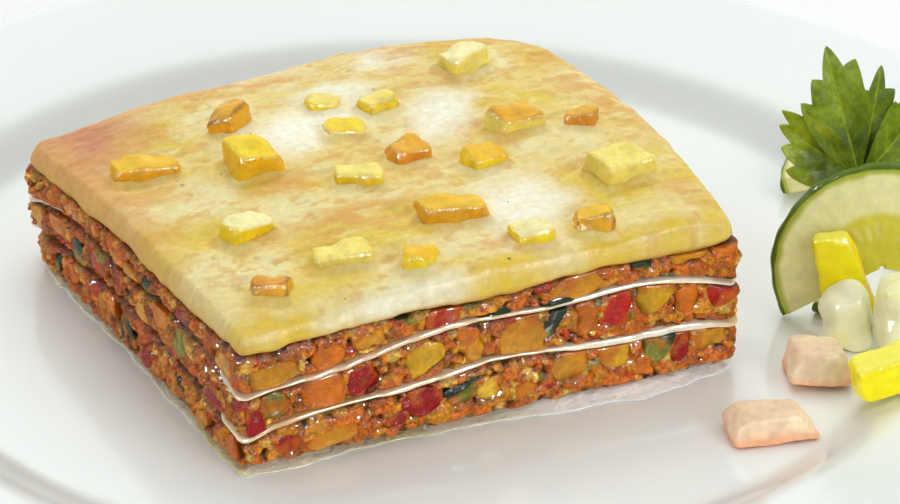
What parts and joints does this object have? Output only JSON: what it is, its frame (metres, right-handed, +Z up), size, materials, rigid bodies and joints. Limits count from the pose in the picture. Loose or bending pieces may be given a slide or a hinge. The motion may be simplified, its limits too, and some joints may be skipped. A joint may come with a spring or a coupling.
{
  "type": "plated vegetable lasagne slice",
  "caption": "Square-cut slice of layered vegetable lasagne with a baked cream top and squash dice, on a wide-rimmed white dinner plate with a cucumber, pepper, tomato and parsley garnish.",
  "frame": {"origin": "under the middle of the plate, on the surface it stands on", "axes": "+Z up; the slice's long cut face looks along -Y and its short cut face along -X, with the garnish on the +X side"},
  "size_m": [0.31, 0.31, 0.0621],
  "materials": {
    "plate": "glossy white glaze",
    "pasta": "satin, wet at the cut edge",
    "filling": "wet, glossy, granular",
    "sauce": "satin, baked, browned in patches",
    "squash": "roasted, slightly glossy",
    "cucumber": "wet, translucent",
    "tomato": "wet, translucent",
    "yellow_pepper": "glossy",
    "parsley": "satin leaf"
  },
  "bodies": {
    "root": {"dinner_plate": "plate", "bottom_pasta_sheet": "pasta", "lower_pasta_sheet": "pasta", "upper_pasta_sheet": "pasta", "lower_filling": "filling", "middle_filling": "filling", "upper_filling": "filling", "baked_sauce_top": "sauce", "cucumber_slice_standing": "cucumber", "cucumber_half_slice": "cucumber", "cucumber_wedge": "cucumber", "cucumber_chunk_1": "cucumber", "cucumber_chunk_2": "cucumber", "tomato_piece_1": "tomato", "tomato_piece_2": "tomato", "yellow_pepper_piece_1": "yellow_pepper", "yellow_pepper_piece_2": "yellow_pepper", "parsley_sprig": "parsley", "squash_dice_01": "squash", "squash_dice_02": "squash", "squash_dice_03": "squash", "squash_dice_04": "squash", "squash_dice_05": "squash", "squash_dice_06": "squash", "squash_dice_07": "squash", "squash_dice_08": "squash", "squash_dice_09": "squash", "squash_dice_10": "squash", "squash_dice_11": "squash", "squash_dice_12": "squash", "squash_dice_13": "squash", "squash_dice_14": "squash", "squash_dice_15": "squash", "squash_dice_16": "squash", "squash_dice_17": "squash", "squash_dice_18": "squash", "squash_dice_19": "squash", "squash_dice_20": "squash"}
  },
  "joints": []
}
